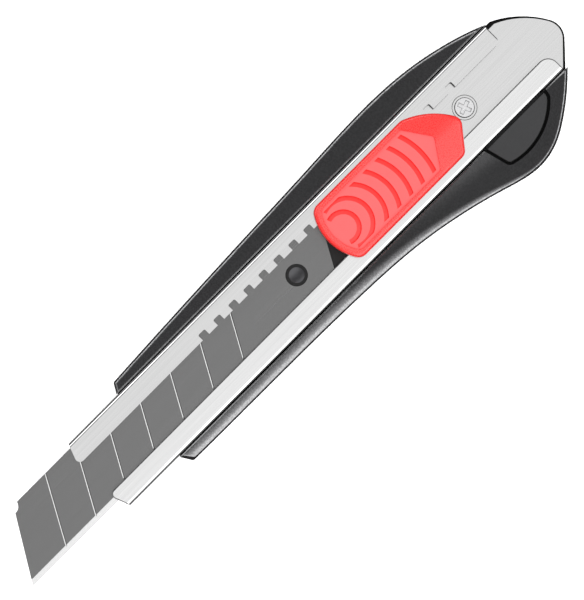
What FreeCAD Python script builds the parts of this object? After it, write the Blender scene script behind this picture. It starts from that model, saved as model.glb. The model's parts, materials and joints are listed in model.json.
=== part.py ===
"""Snap-off utility knife: an 18 mm segmented blade in a folded steel rail, between two die-cast grips.

Frame, in millimetres: X runs along the knife from the blade's tip (-X) to the butt (+X), Y across it,
and Z up from the plane that the back of the knife rests on.  X = 0 is halfway between the front of the
grips and the butt.  The blade's spine lies to +Y, and its cutting edge faces -Y.
"""
import FreeCAD, Part
import math
import os

V = FreeCAD.Vector
UP = V(0, 0, 1)

# ---- blade ---------------------------------------------------------------------------------------
blade_width = 18.0
blade_thickness = 0.5
blade_lean = 29.0          # degrees that the rear end and the score lines lean from square
tip_lean = 31.5            # degrees that the front end leans
first_segment = 12.5       # tip to the first score line, along the cutting edge
segment_pitch = 10.7
score_count = 7
tail_section = 32.4        # last score line to the rear end
bevel_width = 1.45         # ground cutting edge, seen from above
edge_thickness = 0.06
score_width = 0.44
score_depth = 0.082
nick_radius = 2.15         # small hollow nick that takes off the spine corner of the tip
nick_ahead = 0.9           # its centre, from that corner
nick_above = 0.4
hole_set_in = 6.4          # hole's centre ahead of the rear end of the cutting edge
hole_below_spine = 9.75
hole_radius = 2.85

# ---- folded steel rail ---------------------------------------------------------------------------
sheet = 0.8
bend_radius = 1.1          # outside radius of the folds
spine_play = 0.25          # blade's spine to the rail's wall
edge_play = 2.15           # cutting edge to the rail's wall
rail_room = 2.8            # clear height between floor and lips
lip_width = 5.65
nose_overhang = 19.3       # rail's nose ahead of the grips
nose_rake = 2.1            # slant of the lips' noses, along X
nose_rounding = 1.3
upper_lip_rounding = 1.4
lower_lip_rounding = 3.0
lip_chamfer = 0.25         # along the inner edge of the lower lip, and round both lips' rear ends
butt_corner_ahead = 10.9   # where the butt's curve starts, ahead of its end
butt_corner_share = 0.875  # and how far out, as a share of the rail's half width
upper_wall_end = 13.3      # end of the upper wall, ahead of the butt
lower_wall_end = 6.9
notch_width = 2.28
notch_depth = 1.75
notch_rounding = 0.4
notch_start = 45.7         # first notch's centre behind the rail's nose
row_margin = 22.0          # lip kept behind the row of notches
parking_gap = 1.47         # last notch to the parking notch, in notch pitches
key_front = 34.9           # relief in the lower wall for the release button's key, ahead of the butt
key_rear = 14.7
key_depth = 0.45
rest_pad_length = 7.6      # embossed pad in the nose that carries the blade
rest_pad_width = 9.0
rest_pad_inset = 1.2       # floor ahead of the pad
rest_pad_corner = 2.0
rest_pad_edge = 0.6

# ---- grips, back plate and tray ------------------------------------------------------------------
handle_length = 144.9      # front of the grips to the butt
rail_gap = 0.25            # shadow gap between rail and grips
rail_proud = 0.35          # the rail stands above the grips by this
rail_floor_z = 7.6         # underside of the rail
fit = 0.05                 # clearance of parts that are seated in each other
overlap = 0.3              # how far shapes that are fused run into each other
back_z = 0.3               # metal back of the grips, above the rest plane
plate_thickness = 1.8
plate_half_width = 9.6
plate_corner = 4.0
plate_edge = 0.4
rib_count = 6              # finger grooves in the plate, in each half of it
rib_start = 9.0
rib_pitch = 4.0
rib_width = 1.4
rib_depth = 0.35
rib_half = 4.4
flange_thickness = 2.4     # grips' inner flanges, on the back plate
flange_inner = 4.0
tray_floor = 0.9
upper_edge_radius = 0.9
lower_edge_radius = 0.9
back_edge_radius = 2.0
front_corner = 0.8
trough_chamfer = 0.35
front_rise = 2.6           # the back sweeps up towards both ends
rear_rise = 3.2
butt_rim = 0.45            # dark rim that shows round the steel plate at the butt
rim_corner_ahead = 11.8    # where the rim's curve starts
rim_corner_share = 0.945
butt_rise = 2.0            # underside of the tray's butt block
butt_edge = 1.2
tray_set_back = 0.5
tray_corner = 0.6
bay_margin = 1.0           # spare blades' bay beyond the blades
spare_count = 2

# how far each grip stands out beyond the trough, at fractions of the handle's length
upper_bulge = [(0.012, 2.67), (0.25, 4.35), (0.38, 5.13), (0.51, 5.87), (0.64, 6.63), (0.77, 5.51),
               (0.81, 4.41), (0.86, 2.51)]
lower_bulge = [(0.014, 3.15), (0.15, 3.32), (0.33, 3.5), (0.42, 3.82), (0.51, 4.47), (0.57, 5.37),
               (0.64, 7.15), (0.73, 10.5), (0.77, 12.19), (0.81, 12.85), (0.86, 11.06), (0.88, 9.45),
               (0.925, 4.75)]
grip_tip = 5.7             # rear tip of the lower grip, ahead of the butt

# ---- screws --------------------------------------------------------------------------------------
screw_set_in = 31.2        # rail screw ahead of the butt
thread_radius = 1.2
rail_head_radius = 2.6
rail_head_rise = 0.25
rail_head_chamfer = 0.2
head_ring = 0.5            # width of the ring sunk round the head
head_ring_depth = 0.3
head_ring_chamfer = 0.15
recess_span = 3.4
recess_width = 0.8
recess_depth = 0.8
recess_chamfer = 0.15
recess_turn = 20
neck_flare = 0.4           # a countersunk head's small end, beyond the thread
insert_wall = 0.65
boss_clear = 0.25          # tray's boss in the spare blades' holes
plate_head_radius = 2.2
plate_head_sunk = 0.25     # heads below the plate's face
plate_head_depth = 1.25
plate_recess_span = 2.4
plate_recess_width = 0.6
plate_recess_depth = 0.65
plate_screw_y = 6.6
plate_screws_at = (0.17, 0.48, 0.79)

# ---- release button ------------------------------------------------------------------------------
button_front = 35.75       # front of the button's window, ahead of the butt
button_rear = 13.7
button_reach = 8.25        # the window's depth, out from the trough
bezel_width = 0.55
bezel_drop = 1.1           # the guide's top lies below the grip's face
button_drop = 0.3
button_clear = 0.12
button_flange = 0.2
key_height = 1.0
key_clear = 0.15
button_gap = 0.6           # shadow gap between the button and the rail
button_edge = 0.35
window_rounding = 1.9
spring_wire = 0.5
spring_radius = 2.0
spring_turns = 4
spring_ahead = 1.5         # spring's axis ahead of the window's middle
spring_out = 3.4
wire_sides = 10

# ---- carriage and thumb slider -------------------------------------------------------------------
slider_length = 45.6
slider_width = 17.5
slider_height = 4.6
slider_offset = 0.25       # the slider sits a little to the spine side
slider_lift = 0.35         # clearance over the lips
slider_play = 0.8          # the slider shifts this far on the carriage, each way, to lift the lock
rest_notch = 10            # notch that the lock stands in
lock_set_back = 14.7       # front of the slider to the lock's tooth
blade_set_back = 5.2       # rear end of the cutting edge ahead of the slider's front
blade_headroom = 0.35      # blade's top to the lips
slide_fit = 0.15
tongue_front = 8.0         # carrier's tongue ahead of the blade's hole
ring_wall = 0.7            # carrier's ring, round the steel peg in the blade's hole
ring_rise = 0.25           # the ring stands above the blade
peg_foot = 0.8             # the peg's foot is wider than its shank by this
peg_dish = 0.45
slider_shoulder = 3.0      # depth of the slider's rounded front
slider_tail = 11.4         # length of the slider's pointed tail
slider_front_corner = 2.8
slider_corner = 2.4
slider_edge = 1.0
rim_front = 1.85           # rim round the thumb pad
rim_side = 1.55
rim_tail = 8.15            # roofed tail behind the pad
pad_chevron = 4.9
pad_front_corner = 1.9
pad_corner = 0.8
tail_fall = 0.15           # slope of the roofed tail, down towards its tip
ridge_radius = 15.0
pad_drop = 0.6
pad_thickness = 1.3
tread_pitch = 3.87
tread_first = 9.7          # first tread's apex behind the slider's front
tread_radius = 4.6
tread_growth = 2.4         # each tread's radius beyond the one ahead of it
tread_width = 1.25
tread_sweep = 220          # degrees
tread_margin = 0.9         # pad left plain along its sides
tread_depth = 0.45
post_length = 6.0          # carrier's T-shaped posts, which hold the slider
post_inset = 4.0           # front post behind the slider's front
rear_post_inset = 12.4     # rear post's end ahead of the slider's tip
post_half = 4.0
head_overhang = 0.7
head_thickness = 1.3
head_rise = 2.4            # post's top above the slider's underside
carrier_setback = 5.6      # carrier's end ahead of the slider's tip
carrier_corner = 1.5
leaf_thickness = 0.3
leaf_drop = 0.5            # leaf spring below the lips
leaf_half = 3.6
leaf_margin = 2.7          # leaf beyond its rivets
leaf_floor = 0.4           # carrier left under the leaf's arm
leaf_clear = 0.25
tooth_clear = 0.2
tooth_rounding = 0.3
rivet_radius = 1.2
rivet_head_radius = 1.9
rivet_head = 0.6
rivet_set_back = 6.0       # first rivet behind the tooth
rivet_pitch = 9.0
groove_depth = 0.5         # groove under the carrier that clears the rail screw's head
groove_margin = 0.6

# ---- worked out from the sizes above -------------------------------------------------------------
front_x = -handle_length / 2
butt_x = handle_length / 2
lean = math.tan(math.radians(blade_lean))
rail_half = (blade_width + spine_play + edge_play) / 2 + sheet
rail_nose_x = front_x - nose_overhang
floor_top_z = rail_floor_z + sheet
lip_bottom_z = floor_top_z + rail_room
rail_top_z = lip_bottom_z + sheet
lip_inner_y = rail_half - lip_width
trough_half = rail_half + rail_gap
tray_half = trough_half - fit
grip_top_z = rail_top_z - rail_proud
flange_z = plate_thickness + fit
flange_top_z = flange_z + flange_thickness
tray_z = flange_top_z + fit
bay_floor_z = tray_z + tray_floor
insert_z = tray_z + tray_floor / 2
insert_radius = thread_radius + insert_wall
notch_pitch = segment_pitch / 2
upper_lip_end = butt_x - upper_wall_end
lower_lip_end = butt_x - lower_wall_end
base_end = upper_lip_end - 1.2
notch_x0 = rail_nose_x + notch_start
notch_count = int((upper_lip_end - row_margin - notch_x0) / notch_pitch) + 1
lock_x = notch_x0 + rest_notch * notch_pitch
slider_x0 = lock_x - lock_set_back
slider_x1 = slider_x0 + slider_length
slider_z0 = rail_top_z + slider_lift
slider_z1 = slider_z0 + slider_height
pad_top_z = slider_z1 - pad_drop
pad_z = pad_top_z - pad_thickness
blade_edge_y = rail_half - sheet - spine_play - blade_width
blade_spine_y = blade_edge_y + blade_width
blade_rear_x = slider_x0 - blade_set_back
blade_tip_x = blade_rear_x - first_segment - (score_count - 1) * segment_pitch - tail_section
carrier_z = floor_top_z + slide_fit
carrier_top_z = lip_bottom_z - slide_fit
groove_z = carrier_z + groove_depth
groove_half = rail_head_radius + groove_margin
blade_z = lip_bottom_z - blade_headroom - blade_thickness
blade_top_z = blade_z + blade_thickness
hole_x = blade_rear_x - hole_set_in
hole_y = blade_spine_y - hole_below_spine
ring_radius = hole_radius - slide_fit
peg_radius = ring_radius - ring_wall
boss_radius = hole_radius - boss_clear
screw_x = butt_x - screw_set_in
window_x0 = butt_x - button_front
window_x1 = butt_x - button_rear
key_z = rail_floor_z + fit
button_top_z = grip_top_z - button_drop
leaf_z = lip_bottom_z - leaf_drop - leaf_thickness
tooth_top_z = rail_top_z - fit


# ---- small tools ---------------------------------------------------------------------------------
def box(x0, x1, y0, y1, z0, z1):
    return Part.makeBox(x1 - x0, y1 - y0, z1 - z0, V(x0, y0, z0))


def disc(radius, x, y, z0, z1):
    return Part.makeCylinder(radius, z1 - z0, V(x, y, z0), UP)


def cone(radius0, radius1, x, y, z0, z1):
    return Part.makeCone(radius0, radius1, z1 - z0, V(x, y, z0), UP)


def line(a, b):
    return Part.LineSegment(V(*a, 0), V(*b, 0)).toShape()


def arc(a, middle, b):
    return Part.Arc(V(*a, 0), V(*middle, 0), V(*b, 0)).toShape()


def curve(points):
    spline = Part.BSplineCurve()
    spline.interpolate([V(x, y, 0) for x, y in points])
    return spline.toShape()


def polygon(*points):
    corners = [V(x, y, 0) for x, y in points]
    return Part.makePolygon(corners + corners[:1])


def prism(wire, z0, z1):
    solid = Part.Face(wire).extrude(V(0, 0, z1 - z0))
    solid.translate(V(0, 0, z0))
    return solid


def along_y(wire, y0, y1):
    """A profile drawn as (x, z), swept across the knife."""
    solid = Part.Face(wire).extrude(V(0, 0, y1 - y0))
    solid.rotate(V(0, 0, 0), V(1, 0, 0), 90)
    solid.translate(V(0, y1, 0))
    return solid


def rounded(solid, radius, wanted):
    """Rounds the edges that wanted(edge) picks."""
    return solid.makeFillet(radius, [edge for edge in solid.Edges if wanted(edge)])


def upright(edge):
    ends = [vertex.Point for vertex in edge.Vertexes]
    return len(ends) == 2 and abs(ends[0].x - ends[1].x) < 1e-6 and abs(ends[0].y - ends[1].y) < 1e-6


def level(edge, z):
    return all(abs(vertex.Point.z - z) < 1e-6 for vertex in edge.Vertexes)


def middle(edge):
    return edge.valueAt((edge.FirstParameter + edge.LastParameter) / 2)


def rounded_box(x0, x1, y0, y1, z0, z1, radius):
    return rounded(box(x0, x1, y0, y1, z0, z1), radius, upright)


def cross_recess(x, y, z0, z1, span, width):
    """The cross of a driver recess."""
    one = box(x - span / 2, x + span / 2, y - width / 2, y + width / 2, z0, z1)
    other = box(x - width / 2, x + width / 2, y - span / 2, y + span / 2, z0, z1)
    return one.fuse(other)


def at(fraction):
    """The X that lies at a fraction of the handle's length."""
    return front_x + fraction * handle_length


# ---- blade and carriage --------------------------------------------------------------------------
def blade():
    """A segmented blade lying on Z = 0, with its score lines on the upper face."""
    y0 = blade_edge_y
    y1 = blade_spine_y
    rise = lean * blade_width
    shoulder_x = blade_tip_x + math.tan(math.radians(tip_lean)) * blade_width
    outline = polygon((blade_tip_x, y0), (blade_rear_x, y0), (blade_rear_x + rise, y1), (shoulder_x, y1))
    solid = prism(outline, 0, blade_thickness)
    solid = solid.cut(disc(nick_radius, shoulder_x - nick_ahead, y1 + nick_above, -1, 1))
    solid = solid.cut(disc(hole_radius, hole_x, hole_y, -1, 1))
    land = (blade_thickness - edge_thickness) / 2
    for level_z, slope in ((0, 1), (blade_thickness, -1)):
        wedge = polygon((y0 - 0.01, level_z - slope), (y0 + bevel_width, level_z - slope),
                        (y0 + bevel_width, level_z), (y0 - 0.01, level_z + slope * land))
        cutter = Part.Face(wedge).extrude(V(0, 0, blade_rear_x - blade_tip_x + 4))
        cutter.rotate(V(0, 0, 0), V(1, 1, 1), 120)
        cutter.translate(V(blade_tip_x - 2, 0, 0))
        solid = solid.cut(cutter)
    for index in range(score_count):
        x = blade_tip_x + first_segment + index * segment_pitch
        half = score_width / 2
        vee = [V(x - half, y0, blade_thickness), V(x, y0, blade_thickness - score_depth),
               V(x + half, y0, blade_thickness), V(x, y0, blade_thickness + score_depth)]
        groove = Part.Face(Part.makePolygon(vee + vee[:1])).extrude(2 * V(rise, blade_width, 0))
        groove.translate(-V(rise, blade_width, 0) / 2)
        solid = solid.cut(groove)
    return solid


def placed_blade():
    solid = blade()
    solid.translate(V(0, 0, blade_z))
    return solid


def spare_blade(index):
    solid = blade()
    solid.translate(V(screw_x - hole_x, -hole_y, bay_floor_z + index * (blade_thickness + fit) + fit))
    return solid


def carrier_posts(grow):
    """The two T-shaped posts; grow widens them, and lengthens them along X by the slider's play too."""
    play = grow + (slider_play if grow else 0)
    stem = post_half + grow
    head = stem + head_overhang
    head_z = slider_z0 + head_rise - head_thickness
    y = slider_offset
    posts = []
    for start in (slider_x0 + post_inset, slider_x1 - rear_post_inset - post_length):
        x0 = start - play
        x1 = start + post_length + play
        posts.append(box(x0, x1, y - stem, y + stem, carrier_top_z - overlap, head_z + overlap))
        posts.append(box(x0, x1, y - head, y + head, head_z - grow, head_z + head_thickness + grow))
    return posts


def blade_carrier():
    """The moulding that slides in the rail: a tongue under the blade, a block behind it, and posts."""
    half = rail_half - sheet - slide_fit
    x0 = hole_x - tongue_front
    x1 = slider_x1 - carrier_setback
    step = lean * blade_width
    block_x = blade_rear_x + slide_fit
    corner = carrier_corner
    upper = polygon((block_x, -half), (block_x, blade_edge_y), (block_x + step, blade_spine_y),
                    (block_x + step, half), (x1 - corner, half), (x1, half - corner), (x1, corner - half),
                    (x1 - corner, -half))
    solid = rounded_box(x0, x1, -half, half, carrier_z, blade_z, corner)
    solid = solid.fuse(prism(upper, blade_z - overlap, carrier_top_z))
    solid = solid.fuse(disc(ring_radius, hole_x, hole_y, blade_z - overlap, blade_top_z + ring_rise))
    solid = solid.fuse(carrier_posts(0))
    solid = solid.cut(peg_shape(fit))
    solid = solid.cut(box(x0 - 1, x1 + 1, -groove_half, groove_half, 0, groove_z))
    solid = solid.cut(leaf_plan(leaf_clear, groove_z + leaf_floor, rail_top_z)[0])
    solid = solid.cut(leaf_plan(leaf_clear, leaf_z, rail_top_z)[1])
    for x in rivet_places():
        solid = solid.cut(disc(rivet_radius + fit, x, 0, 0, rail_top_z))
        solid = solid.cut(disc(rivet_head_radius + fit, x, 0, 0, groove_z + rivet_head + fit))
    return solid.removeSplitter()


def peg_shape(grow):
    shank = disc(peg_radius + grow, hole_x, hole_y, groove_z - grow, blade_top_z + ring_rise)
    foot = disc(peg_radius + peg_foot + grow, hole_x, hole_y, groove_z - grow, groove_z + peg_foot + grow)
    return shank.fuse(foot)


def blade_peg():
    """A steel peg with a dished face, seated in the carrier's ring."""
    ball = (peg_radius ** 2 + peg_dish ** 2) / (2 * peg_dish)
    top = blade_top_z + ring_rise - peg_dish / 4
    solid = peg_shape(0).cut(box(hole_x - 9, hole_x + 9, hole_y - 9, hole_y + 9, top, top + 9))
    return solid.cut(Part.makeSphere(ball, V(hole_x, hole_y, top + ball - peg_dish)))


def rivet_places():
    first = lock_x + rivet_set_back
    return (first, first + rivet_pitch)


def leaf_plan(grow, z0, z1):
    """The leaf spring's arm, which reaches under the notched lip, and its base under the rivets."""
    rivets = rivet_places()
    base_x0 = rivets[0] - leaf_margin
    base_x1 = rivets[1] + leaf_margin
    arm_x0 = lock_x - notch_width / 2
    reach = lip_inner_y + notch_depth - tooth_clear
    arm = box(arm_x0 - grow, base_x0 + overlap, -leaf_half / 2 - grow, reach + grow, z0, z1)
    base = box(base_x0 - grow, base_x1 + grow, -leaf_half - grow, leaf_half + grow, z0, z1)
    return arm, base


def lock_spring():
    """The leaf spring, with the tooth that stands up in a notch."""
    leaf_top = leaf_z + leaf_thickness
    half = notch_width / 2 - tooth_clear
    reach = lip_inner_y + notch_depth - tooth_clear
    tooth = box(lock_x - half, lock_x + half, lip_inner_y + tooth_clear, reach, leaf_z, tooth_top_z)
    tooth = rounded(tooth, tooth_rounding, lambda edge: level(edge, tooth_top_z))
    arm, base = leaf_plan(0, leaf_z, leaf_top)
    solid = arm.fuse([base, tooth])
    for x in rivet_places():
        solid = solid.cut(disc(rivet_radius + fit, x, 0, leaf_z - 1, leaf_top + 1))
    return solid.removeSplitter()


def spring_rivets():
    leaf_top = leaf_z + leaf_thickness
    top = leaf_top + rivet_head
    rivets = []
    for x in rivet_places():
        shank = disc(rivet_radius, x, 0, groove_z + fit, leaf_top + overlap)
        foot = disc(rivet_head_radius, x, 0, groove_z + fit, groove_z + rivet_head)
        head = disc(rivet_head_radius, x, 0, leaf_top, top)
        head = rounded(head, rivet_head / 2, lambda edge: level(edge, top))
        rivets.append(shank.fuse([foot, head]).removeSplitter())
    return Part.makeCompound(rivets)


def slider_plan():
    """The slider from above: a rounded front, and a tail drawn to a point."""
    x0 = slider_x0
    x1 = slider_x1
    half = slider_width / 2
    y = slider_offset
    shoulder = slider_shoulder
    tail = slider_tail
    edges = [arc((x0 + shoulder, y - half), (x0, y), (x0 + shoulder, y + half)),
             line((x0 + shoulder, y + half), (x1 - tail, y + half)),
             arc((x1 - tail, y + half), (x1 - tail * 0.42, y + half * 0.55), (x1, y - half * 0.18)),
             line((x1, y - half * 0.18), (x1 - tail * 0.5, y - half)),
             line((x1 - tail * 0.5, y - half), (x0 + shoulder, y - half))]
    return Part.Wire(edges)


def pad_plan():
    """The thumb pad from above: a rounded front, and a chevron at the rear."""
    x0 = slider_x0 + rim_front
    x1 = slider_x1 - rim_tail
    half = slider_width / 2 - rim_side
    y = slider_offset
    shoulder = slider_shoulder * half * 2 / slider_width
    edges = [arc((x0 + shoulder, y - half), (x0, y), (x0 + shoulder, y + half)),
             line((x0 + shoulder, y + half), (x1 - pad_chevron, y + half)),
             line((x1 - pad_chevron, y + half), (x1, y)),
             line((x1, y), (x1 - pad_chevron, y - half)),
             line((x1 - pad_chevron, y - half), (x0 + shoulder, y - half))]
    return Part.Wire(edges)


def pad_prism(z1):
    pad = prism(pad_plan(), pad_z, z1)
    middle_x = (slider_x0 + slider_x1) / 2
    pad = rounded(pad, pad_front_corner, lambda e: upright(e) and middle(e).x < middle_x)
    return rounded(pad, pad_corner, lambda e: upright(e) and middle(e).x > middle_x)


def tail_roof():
    """What is cut off above the tail, so that it falls to its tip and to both sides of a ridge."""
    apex_x = slider_x1 - rim_tail
    across = tail_fall * pad_chevron / (slider_width / 2 - rim_side)
    reach = slider_width
    length = rim_tail + reach
    ridge = V(length, 0, -tail_fall * length)
    gable = [V(0, 0, 0), V(0, reach, -across * reach), V(0, reach, reach), V(0, -reach, reach),
             V(0, -reach, -across * reach)]
    roof = Part.Face(Part.makePolygon(gable + gable[:1])).extrude(2 * ridge)
    roof.translate(V(apex_x, slider_offset, slider_z1) - ridge)
    return roof


def thumb_slider():
    solid = prism(slider_plan(), slider_z0, slider_z1)
    middle_x = (slider_x0 + slider_x1) / 2
    solid = rounded(solid, slider_front_corner, lambda e: upright(e) and middle(e).x < middle_x)
    solid = rounded(solid, slider_corner, lambda e: upright(e) and middle(e).x > middle_x)
    foot = Part.makeCompound([edge for edge in solid.Edges if level(edge, slider_z0)])

    def ridge(edge):
        spot = middle(edge)
        return spot.x > slider_x1 - rim_tail and abs(spot.y - slider_offset) < fit and spot.z > pad_z

    def rim(edge):
        spot = middle(edge)
        below = Part.Vertex(V(spot.x, spot.y, slider_z0))
        return spot.z > pad_z and not upright(edge) and foot.distToShape(below)[0] < fit

    solid = rounded(solid.cut(tail_roof()), ridge_radius, ridge)
    solid = rounded(solid, slider_edge, rim)
    solid = solid.cut(pad_prism(slider_z1 + 1))
    return solid.cut(carrier_posts(slide_fit))


def thumb_pad():
    """The soft pad, with curved treads that ramp down and step up again towards the tail."""
    pad = pad_prism(pad_top_z + fit)
    pad = pad.makeOffsetShape(-fit, 0.001)
    tread_count = int((slider_x1 - rim_tail - slider_x0 - tread_first) / tread_pitch)
    half = slider_width / 2 - rim_side - tread_margin
    treads = box(slider_x0, slider_x1, slider_offset - half, slider_offset + half, pad_z, slider_z1)
    for index in range(tread_count):
        radius = tread_radius + index * tread_growth
        x = slider_x0 + tread_first + index * tread_pitch - radius
        step = [V(radius - tread_width, 0, pad_top_z + 0.01), V(radius, 0, pad_top_z - tread_depth),
                V(radius, 0, pad_top_z + 0.01)]
        ramp = Part.Face(Part.makePolygon(step + step[:1]))
        ramp.rotate(V(0, 0, 0), UP, -tread_sweep / 2)
        cutter = ramp.revolve(V(0, 0, 0), UP, tread_sweep)
        cutter.translate(V(x, slider_offset, 0))
        pad = pad.cut(cutter.common(treads))
    return pad


# ---- rail ----------------------------------------------------------------------------------------
def butt_plan(grow, ahead, share):
    """The rounded butt, drawn from well inside the grips; grow adds a rim."""
    x = butt_x + grow
    h = rail_half + grow
    inside = base_end - 6.0
    edges = [line((inside, share * h), (x - ahead, share * h)),
             arc((x - ahead, share * h), (x - 4.6, 0.49 * h), (x - 0.5, 0.0)),
             arc((x - 0.5, 0.0), (x, -0.22 * h), (x - 1.25, -0.48 * h)),
             line((x - 1.25, -0.48 * h), (x - 6.9, -h)),
             line((x - 6.9, -h), (inside, -h)),
             line((inside, -h), (inside, share * h))]
    return Part.Wire(edges)


def butt_plate(grow):
    return butt_plan(grow, butt_corner_ahead, butt_corner_share)


def channel_rail():
    h = rail_half
    solid = box(rail_nose_x, butt_x, -h, h, rail_floor_z, rail_top_z)
    solid = rounded(solid, bend_radius, lambda e: abs(e.BoundBox.XLength - (butt_x - rail_nose_x)) < 1e-3)
    x0 = rail_nose_x - 1
    x1 = butt_x + 1
    solid = solid.cut(box(x0, x1, sheet - h, h - sheet, floor_top_z, lip_bottom_z))
    solid = solid.cut(box(x0, x1, -lip_inner_y, lip_inner_y, lip_bottom_z - 1, rail_top_z + 1))
    solid = solid.cut(box(rail_nose_x - 1, rail_nose_x + nose_rake, -h - 1, h + 1, 0, lip_bottom_z))
    for side in (1, -1):
        slant = polygon((rail_nose_x, side * lip_inner_y), (rail_nose_x + nose_rake, side * h),
                        (rail_nose_x + nose_rake, side * (h + 1)), (rail_nose_x - 1, side * (h + 1)),
                        (rail_nose_x - 1, side * lip_inner_y))
        solid = solid.cut(prism(slant, lip_bottom_z - 1, rail_top_z + 1))
    solid = solid.cut(box(upper_lip_end, butt_x + 1, 0, h + 1, floor_top_z, rail_top_z + 1))
    solid = solid.cut(box(lower_lip_end, butt_x + 1, -h - 1, 1, floor_top_z, rail_top_z + 1))
    plate = prism(butt_plate(0), rail_floor_z - 1, floor_top_z + rail_top_z)
    tail = box(upper_lip_end, butt_x + 1, -h - 1, h + 1, rail_floor_z - 1, floor_top_z + rail_top_z)
    solid = solid.cut(tail.cut(plate))
    for x, y, radius in ((rail_nose_x, 1, nose_rounding), (rail_nose_x, -1, nose_rounding),
                         (upper_lip_end, 1, upper_lip_rounding), (lower_lip_end, -1, lower_lip_rounding)):
        solid = rounded(solid, radius, lambda e: upright(e) and abs(middle(e).x - x) < 1e-4
                        and abs(middle(e).y - y * lip_inner_y) < 1e-4 and middle(e).z > lip_bottom_z)
    solid = solid.makeChamfer(lip_chamfer, [e for e in solid.Edges if level(e, rail_top_z)
                                            and abs(middle(e).y + lip_inner_y) < 1e-4])
    end_x = upper_lip_end - lip_chamfer
    end_z = rail_top_z - lip_chamfer
    slope = polygon((end_x, rail_top_z), (upper_lip_end, end_z), (upper_lip_end + 1, end_z),
                    (upper_lip_end + 1, rail_top_z + 1), (end_x, rail_top_z + 1))
    solid = solid.cut(along_y(slope, 0, h + 1))
    solid = solid.cut(notches())
    solid = solid.cut(box(butt_x - key_front, butt_x - key_rear, -h - 1, key_depth - h, 0, rail_top_z + 1))
    solid = solid.fuse(rest_pad(0)).cut(rest_pad(sheet))
    ring = rail_head_radius + head_ring
    solid = solid.cut(disc(ring, screw_x, 0, floor_top_z - head_ring_depth, rail_top_z))
    flare = 2 * head_ring_chamfer
    ring_z = floor_top_z - head_ring_chamfer
    solid = solid.cut(cone(ring, ring + flare, screw_x, 0, ring_z, ring_z + flare))
    return solid.cut(screw_cone(fit)).removeSplitter()


def rest_pad(inset):
    """The pad pressed up out of the rail's floor; inset gives the hollow under it."""
    x0 = rail_nose_x + nose_rake + rest_pad_inset
    half = rest_pad_width / 2 - inset
    top = blade_z - slide_fit - inset
    z0 = rail_floor_z - overlap if inset else floor_top_z - overlap
    x1 = x0 + rest_pad_length - inset
    pad = rounded_box(x0 + inset, x1, -half, half, z0, top, rest_pad_corner - inset)
    return rounded(pad, rest_pad_edge - inset, lambda e: level(e, top)) if rest_pad_edge > inset else pad


def screw_cone(grow):
    neck = thread_radius + grow + neck_flare
    return cone(neck, rail_head_radius + grow, screw_x, 0, rail_floor_z, floor_top_z)


def notches():
    places = [notch_x0 + index * notch_pitch for index in range(notch_count)]
    places.append(places[-1] + parking_gap * notch_pitch)
    outer_y = lip_inner_y + notch_depth
    cutters = []
    for x in places:
        half = notch_width / 2
        one = box(x - half, x + half, lip_inner_y - 1, outer_y, lip_bottom_z - 1, rail_top_z + 1)
        cutters.append(rounded(one, notch_rounding, lambda e: upright(e) and middle(e).y > outer_y - 1e-4))
    return cutters


def rail_screw():
    """The cross-head screw that holds the rail to the tray; its head stands a little above the floor."""
    z = floor_top_z + rail_head_rise
    rim = disc(rail_head_radius, screw_x, 0, floor_top_z, z)
    rim = rim.makeChamfer(rail_head_chamfer, [e for e in rim.Edges if level(e, z)])
    shank = disc(thread_radius, screw_x, 0, insert_z, rail_floor_z)
    recess = cross_recess(screw_x, 0, z - recess_depth, z + 1, recess_span, recess_width)
    recess.rotate(V(screw_x, 0, 0), UP, recess_turn)
    solid = screw_cone(0).fuse([rim, shank]).cut(recess).removeSplitter()
    mouth = [e for e in solid.Edges if level(e, z) and len(e.Vertexes) == 2]
    return solid.makeChamfer(recess_chamfer, mouth)


def screw_insert():
    """The brass insert in the tray's boss."""
    sleeve = disc(insert_radius, screw_x, 0, insert_z, rail_floor_z - fit)
    return sleeve.cut(disc(thread_radius + fit, screw_x, 0, 0, rail_floor_z))


# ---- tray, grips and back plate ------------------------------------------------------------------
def cartridge_tray():
    """The black tray under the rail: a bay for spare blades, the screw's boss, and the butt's rim."""
    x0 = front_x + tray_set_back
    solid = rounded_box(x0, base_end + 2, -tray_half, tray_half, tray_z, rail_floor_z, tray_corner)
    block = prism(butt_plan(butt_rim, rim_corner_ahead, rim_corner_share), butt_rise, floor_top_z)
    block = block.common(box(base_end + fit, butt_x + 2, -tray_half, tray_half, 0, floor_top_z))
    block = rounded(block, butt_edge, lambda e: level(e, butt_rise) and middle(e).x > base_end + 1)
    block = block.cut(prism(butt_plate(fit), rail_floor_z, floor_top_z + 1))
    block = block.cut(box(0, upper_lip_end + fit, 0, tray_half + 1, rail_floor_z, floor_top_z + 1))
    block = block.cut(box(0, lower_lip_end + fit, -tray_half - 1, 0, rail_floor_z, floor_top_z + 1))
    solid = solid.fuse(block)
    shift = screw_x - hole_x
    tip = blade_tip_x + shift - bay_margin
    heel = blade_rear_x + lean * blade_width + shift + bay_margin
    bay = rounded_box(tip, heel, blade_edge_y - hole_y - bay_margin, blade_spine_y - hole_y + bay_margin,
                      bay_floor_z, rail_floor_z + 1, bay_margin * 1.5)
    solid = solid.cut(bay.cut(disc(boss_radius, screw_x, 0, 0, rail_floor_z)))
    solid = solid.cut(disc(insert_radius + fit, screw_x, 0, insert_z, rail_floor_z + 1))
    relief_y = key_depth - rail_half + key_clear
    relief = box(window_x0, window_x1, -trough_half, relief_y, tray_z - 1, rail_floor_z + 1)
    return solid.cut(relief).removeSplitter()


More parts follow.
